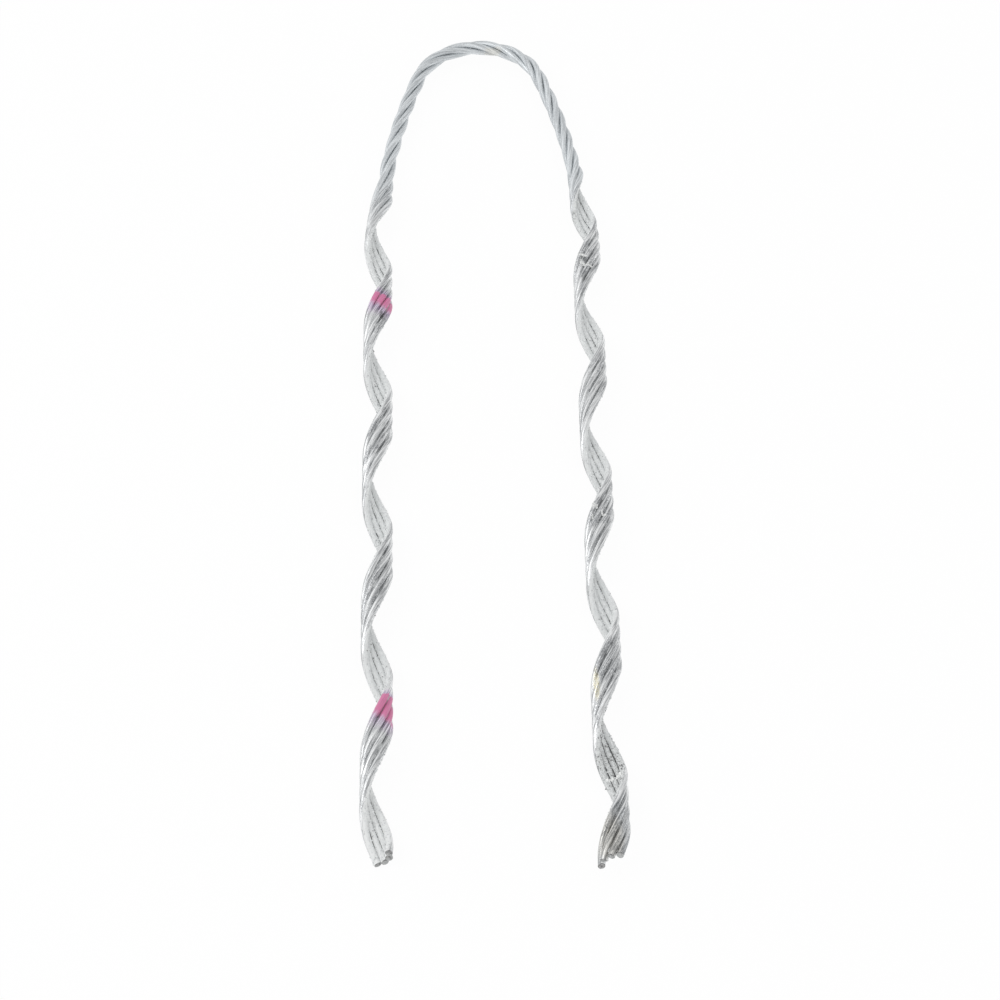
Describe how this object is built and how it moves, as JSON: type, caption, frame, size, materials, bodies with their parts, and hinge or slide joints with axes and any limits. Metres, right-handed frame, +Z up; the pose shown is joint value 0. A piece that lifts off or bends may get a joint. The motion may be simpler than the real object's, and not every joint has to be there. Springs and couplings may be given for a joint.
{
  "type": "preformed dead end grip",
  "caption": "Hairpin of galvanised steel rods: a closed rope eye and two open helical legs that wrap a strand.",
  "frame": {"origin": "centre of the grip's length and width, on the surface that it lies on", "axes": "+Y along the grip, from the leg ends to the crown of the eye; +X from the left leg to the right leg as the picture shows them; +Z up, square to the plane of the eye"},
  "size_m": [0.1002, 0.4205, 0.012],
  "materials": {
    "galvanised_steel": "satin hot-dip zinc"
  },
  "bodies": {
    "root": {"rod_1": "galvanised_steel", "rod_2": "galvanised_steel", "rod_3": "galvanised_steel", "rod_4": "galvanised_steel"}
  },
  "joints": []
}
